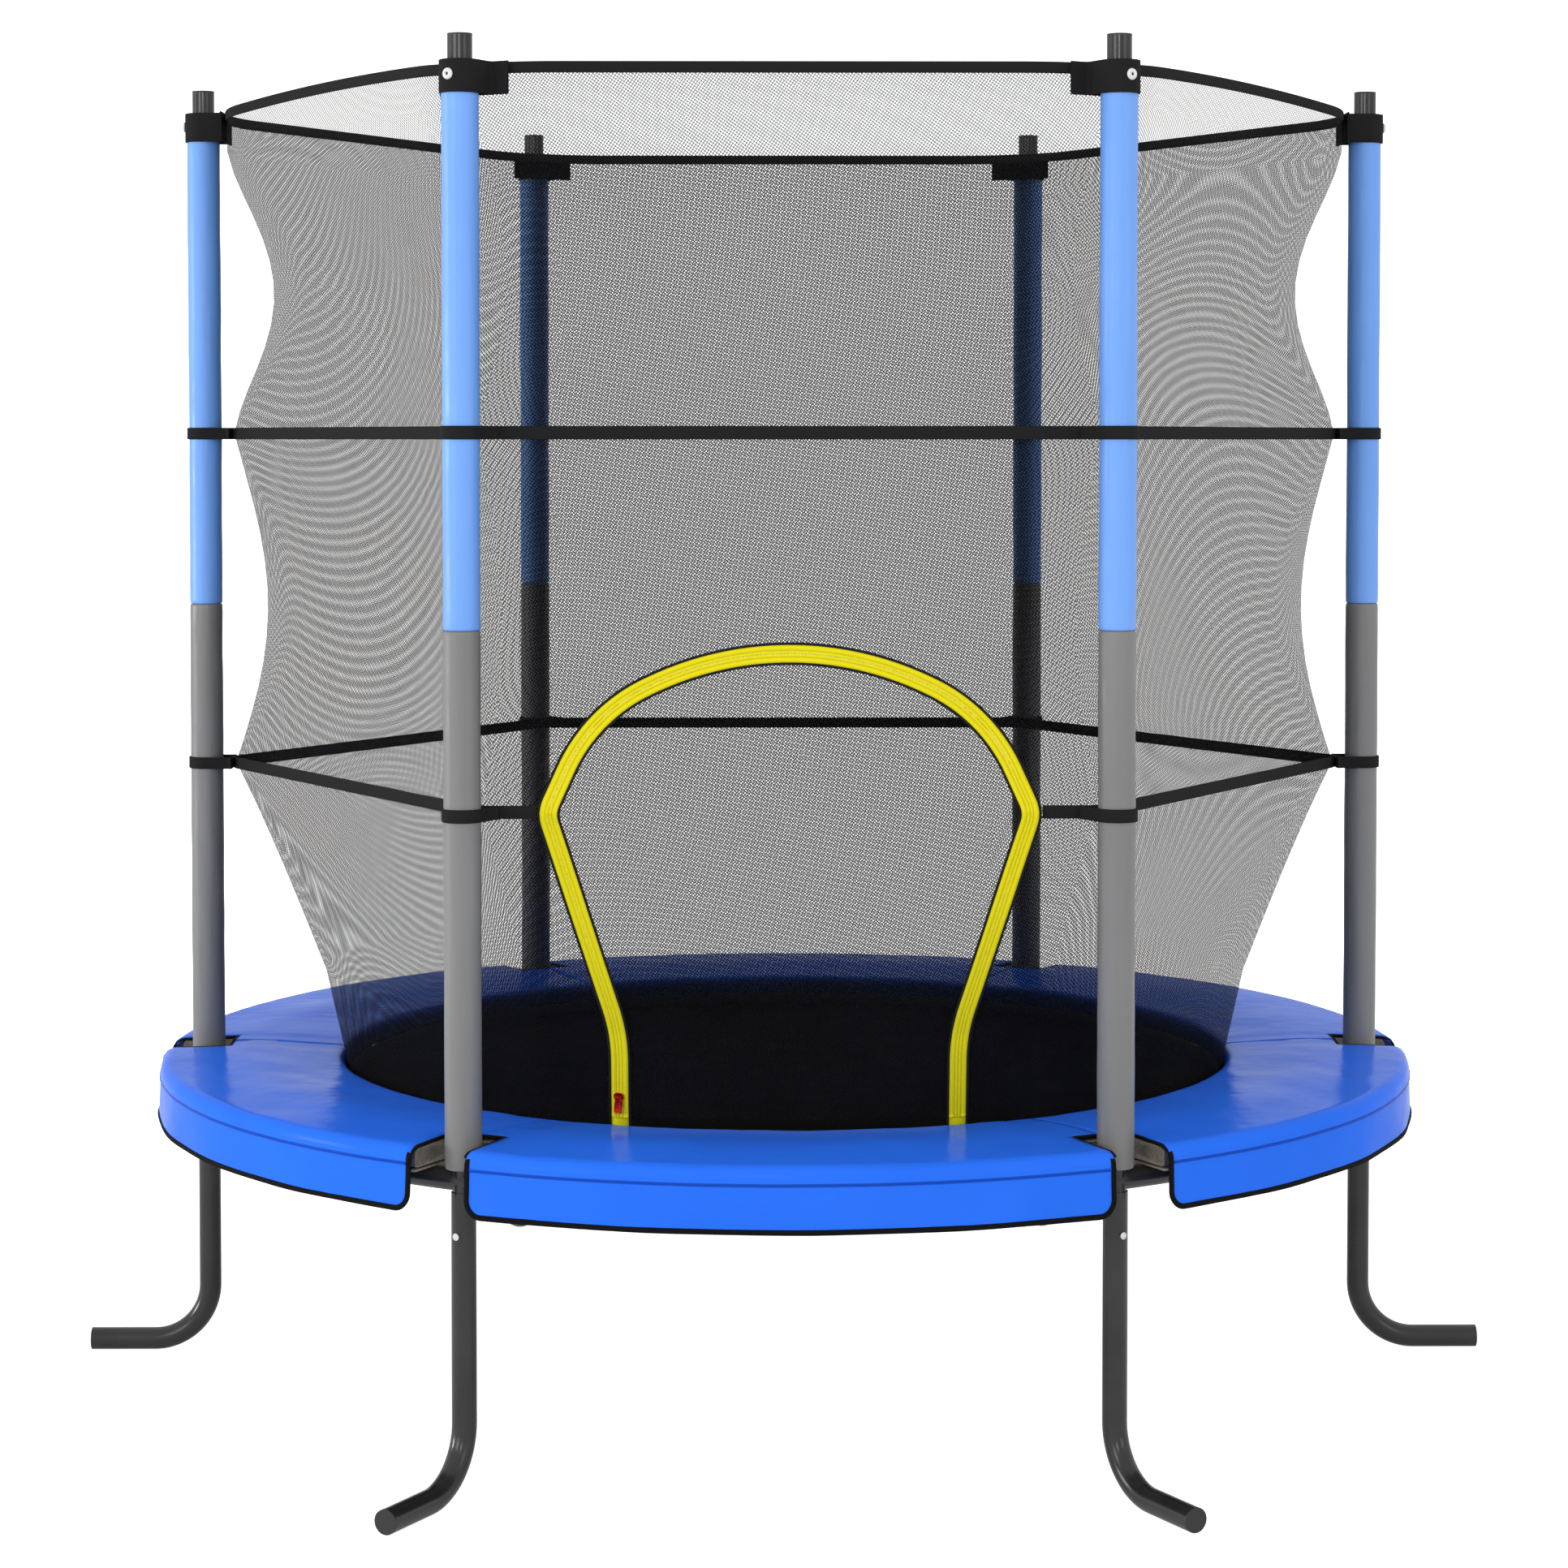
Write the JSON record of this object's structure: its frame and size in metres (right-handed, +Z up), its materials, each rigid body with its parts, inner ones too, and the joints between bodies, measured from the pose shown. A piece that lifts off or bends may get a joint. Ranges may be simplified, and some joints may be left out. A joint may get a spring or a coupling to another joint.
{
  "type": "trampoline with safety net",
  "caption": "Round trampoline on bent tube legs with padded poles, a black safety net with a zipped door, a blue frame pad and a sprung jump mat.",
  "frame": {"origin": "on the floor under the middle of the mat", "axes": "+Z up, the net door faces -Y, two poles lie on the X axis"},
  "size_m": [1.802, 1.6, 1.629],
  "materials": {
    "steel_black": "satin",
    "zinc": "satin",
    "zinc_spring": "satin",
    "cap_black": "matte",
    "foam_grey": "satin",
    "foam_blue": "satin",
    "net_black": "matte",
    "webbing_black": "matte",
    "zip_yellow": "matte",
    "zip_teeth_yellow": "satin",
    "zip_red": "gloss",
    "mat_black": "matte",
    "pad_blue": "satin",
    "foam_beige": "matte",
    "piping_black": "matte"
  },
  "bodies": {
    "root": {"frame_tube_right_back": "steel_black", "frame_tube_back": "steel_black", "frame_tube_left_back": "steel_black", "frame_tube_left_front": "steel_black", "frame_tube_front": "steel_black", "frame_tube_right_front": "steel_black", "leg_right": "steel_black", "leg_back_right": "steel_black", "leg_back_left": "steel_black", "leg_left": "steel_black", "leg_front_left": "steel_black", "leg_front_right": "steel_black", "foot_caps": "cap_black", "pole_end_plugs": "cap_black", "leg_screws": "zinc", "pole_lower_right": "steel_black", "pole_lower_back_right": "steel_black", "pole_lower_back_left": "steel_black", "pole_lower_left": "steel_black", "pole_lower_front_left": "steel_black", "pole_lower_front_right": "steel_black", "pole_upper_right": "steel_black", "pole_upper_back_right": "steel_black", "pole_upper_back_left": "steel_black", "pole_upper_left": "steel_black", "pole_upper_front_left": "steel_black", "pole_upper_front_right": "steel_black", "foam_sleeves_lower": "foam_grey", "foam_sleeves_upper": "foam_blue", "net_collars": "webbing_black", "band_loops": "webbing_black", "collar_bolts": "zinc", "net_panel_right_back": "net_black", "net_panel_back": "net_black", "net_panel_left_back": "net_black", "net_panel_left_front": "net_black", "net_panel_front": "net_black", "net_panel_right_front": "net_black", "zip_tape_frame_side": "zip_yellow", "zip_teeth_frame_side": "zip_teeth_yellow", "top_hem": "webbing_black", "upper_band": "webbing_black", "lower_band": "webbing_black", "springs": "zinc_spring", "net_ties": "webbing_black", "pad_right_back": "pad_blue", "pad_back": "pad_blue", "pad_left_back": "pad_blue", "pad_left_front": "pad_blue", "pad_front": "pad_blue", "pad_right_front": "pad_blue", "pad_foam_cores": "foam_beige", "skirt_piping": "piping_black"},
    "jump_surface": {"jump_mat": "mat_black", "v_rings": "zinc"},
    "net_door": {"door_net": "net_black", "zip_tape_door_side": "zip_yellow", "zip_teeth_door_side": "zip_teeth_yellow"},
    "zip_runner": {"zip_slider": "zip_red"},
    "zip_handle": {"zip_pull": "zip_red"}
  },
  "joints": [
    {"name": "mat_bounce", "type": "slide", "parent": "root", "child": "jump_surface", "axis": [0, 0, -1], "range_m": [0, 0.1], "stiffness_N_per_m": 6000, "springref_m": -0.012},
    {"name": "door_swing", "type": "hinge", "parent": "root", "child": "net_door", "pos_m": [0, -0.5625, 0.40485], "axis": [1, 0, 0], "range_deg": [0, 80]},
    {"name": "zip_travel", "type": "slide", "parent": "net_door", "child": "zip_runner", "axis": [0, -0.2143, 0.9768], "range_m": [0, 0.05]},
    {"name": "pull_swing", "type": "hinge", "parent": "zip_runner", "child": "zip_handle", "pos_m": [-0.19568, -0.54588, 0.42993], "axis": [-0.9529, 0.2963, 0.065], "range_deg": [0, 150]}
  ]
}
